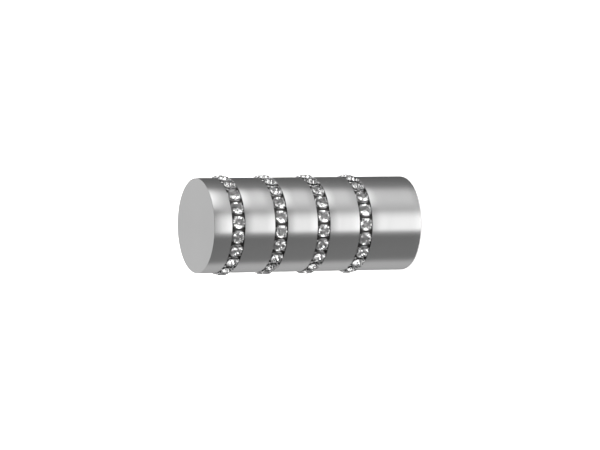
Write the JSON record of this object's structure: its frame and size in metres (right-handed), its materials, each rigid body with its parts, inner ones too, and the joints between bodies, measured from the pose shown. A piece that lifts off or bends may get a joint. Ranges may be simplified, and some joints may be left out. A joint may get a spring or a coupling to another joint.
{
  "type": "cryptex",
  "caption": "Cylindrical jewelled cryptex: stone-set dials turn on a slotted lock tube between smooth sleeves, and free a capped vault tube that lifts out.",
  "frame": {"origin": "centre of the flat base face, on the cryptex's axis", "axes": "+Z along the axis from the base to the cap that lifts out; the lock slot and the index line face +Y"},
  "size_m": [0.0506, 0.0506, 0.115],
  "materials": {
    "satin_steel": "satin, brushed round the axis",
    "brass": "fine turned",
    "turned_steel": "fine turned",
    "pin_steel": "ground",
    "black_screws": "black oxide",
    "rubber": "moulded, matt",
    "blackened_steel": "blackened, satin",
    "bright_plate": "stamped brass, bright nickel plated",
    "clear_crystal": "cut and polished, clear",
    "smoky_crystal": "cut and polished, smoky",
    "nylon": "natural nylon"
  },
  "bodies": {
    "lock_body": {"lock_tube": "turned_steel", "collar": "turned_steel", "collar_screws": "black_screws", "sleeve_1": "satin_steel", "sleeve_2": "satin_steel", "sleeve_3": "satin_steel", "sleeve_key_1": "turned_steel", "sleeve_key_2": "turned_steel", "sleeve_key_3": "turned_steel", "base_sleeve": "satin_steel", "base_plate": "satin_steel", "base_screws": "black_screws", "stop_ring": "rubber"},
    "vault": {"cap": "satin_steel", "vault_tube": "brass", "cap_screws": "black_screws", "drag_ring": "rubber", "locking_pin_1": "pin_steel", "locking_pin_2": "pin_steel", "locking_pin_3": "pin_steel", "locking_pin_4": "pin_steel"},
    "dial_1": {"dial_1": "blackened_steel", "dial_1_cups": "bright_plate", "dial_1_stones": "clear_crystal", "dial_1_marker": "smoky_crystal", "dial_1_washer_top": "nylon", "dial_1_washer_bottom": "nylon"},
    "dial_2": {"dial_2": "blackened_steel", "dial_2_cups": "bright_plate", "dial_2_stones": "clear_crystal", "dial_2_marker": "smoky_crystal", "dial_2_washer_top": "nylon", "dial_2_washer_bottom": "nylon"},
    "dial_3": {"dial_3": "blackened_steel", "dial_3_cups": "bright_plate", "dial_3_stones": "clear_crystal", "dial_3_marker": "smoky_crystal", "dial_3_washer_top": "nylon", "dial_3_washer_bottom": "nylon"},
    "dial_4": {"dial_4": "blackened_steel", "dial_4_cups": "bright_plate", "dial_4_stones": "clear_crystal", "dial_4_marker": "smoky_crystal", "dial_4_washer_top": "nylon", "dial_4_washer_bottom": "nylon"}
  },
  "joints": [
    {"name": "vault_slide", "type": "slide", "parent": "lock_body", "child": "vault", "axis": [0, 0, 1], "range_m": [0, 0.106]},
    {"name": "dial_1_turn", "type": "hinge", "parent": "lock_body", "child": "dial_1", "pos_m": [0, 0, 0.1018], "axis": [0, 0, 1], "continuous": true},
    {"name": "dial_2_turn", "type": "hinge", "parent": "lock_body", "child": "dial_2", "pos_m": [0, 0, 0.0784], "axis": [0, 0, 1], "continuous": true},
    {"name": "dial_3_turn", "type": "hinge", "parent": "lock_body", "child": "dial_3", "pos_m": [0, 0, 0.055], "axis": [0, 0, 1], "continuous": true},
    {"name": "dial_4_turn", "type": "hinge", "parent": "lock_body", "child": "dial_4", "pos_m": [0, 0, 0.0316], "axis": [0, 0, 1], "continuous": true}
  ]
}
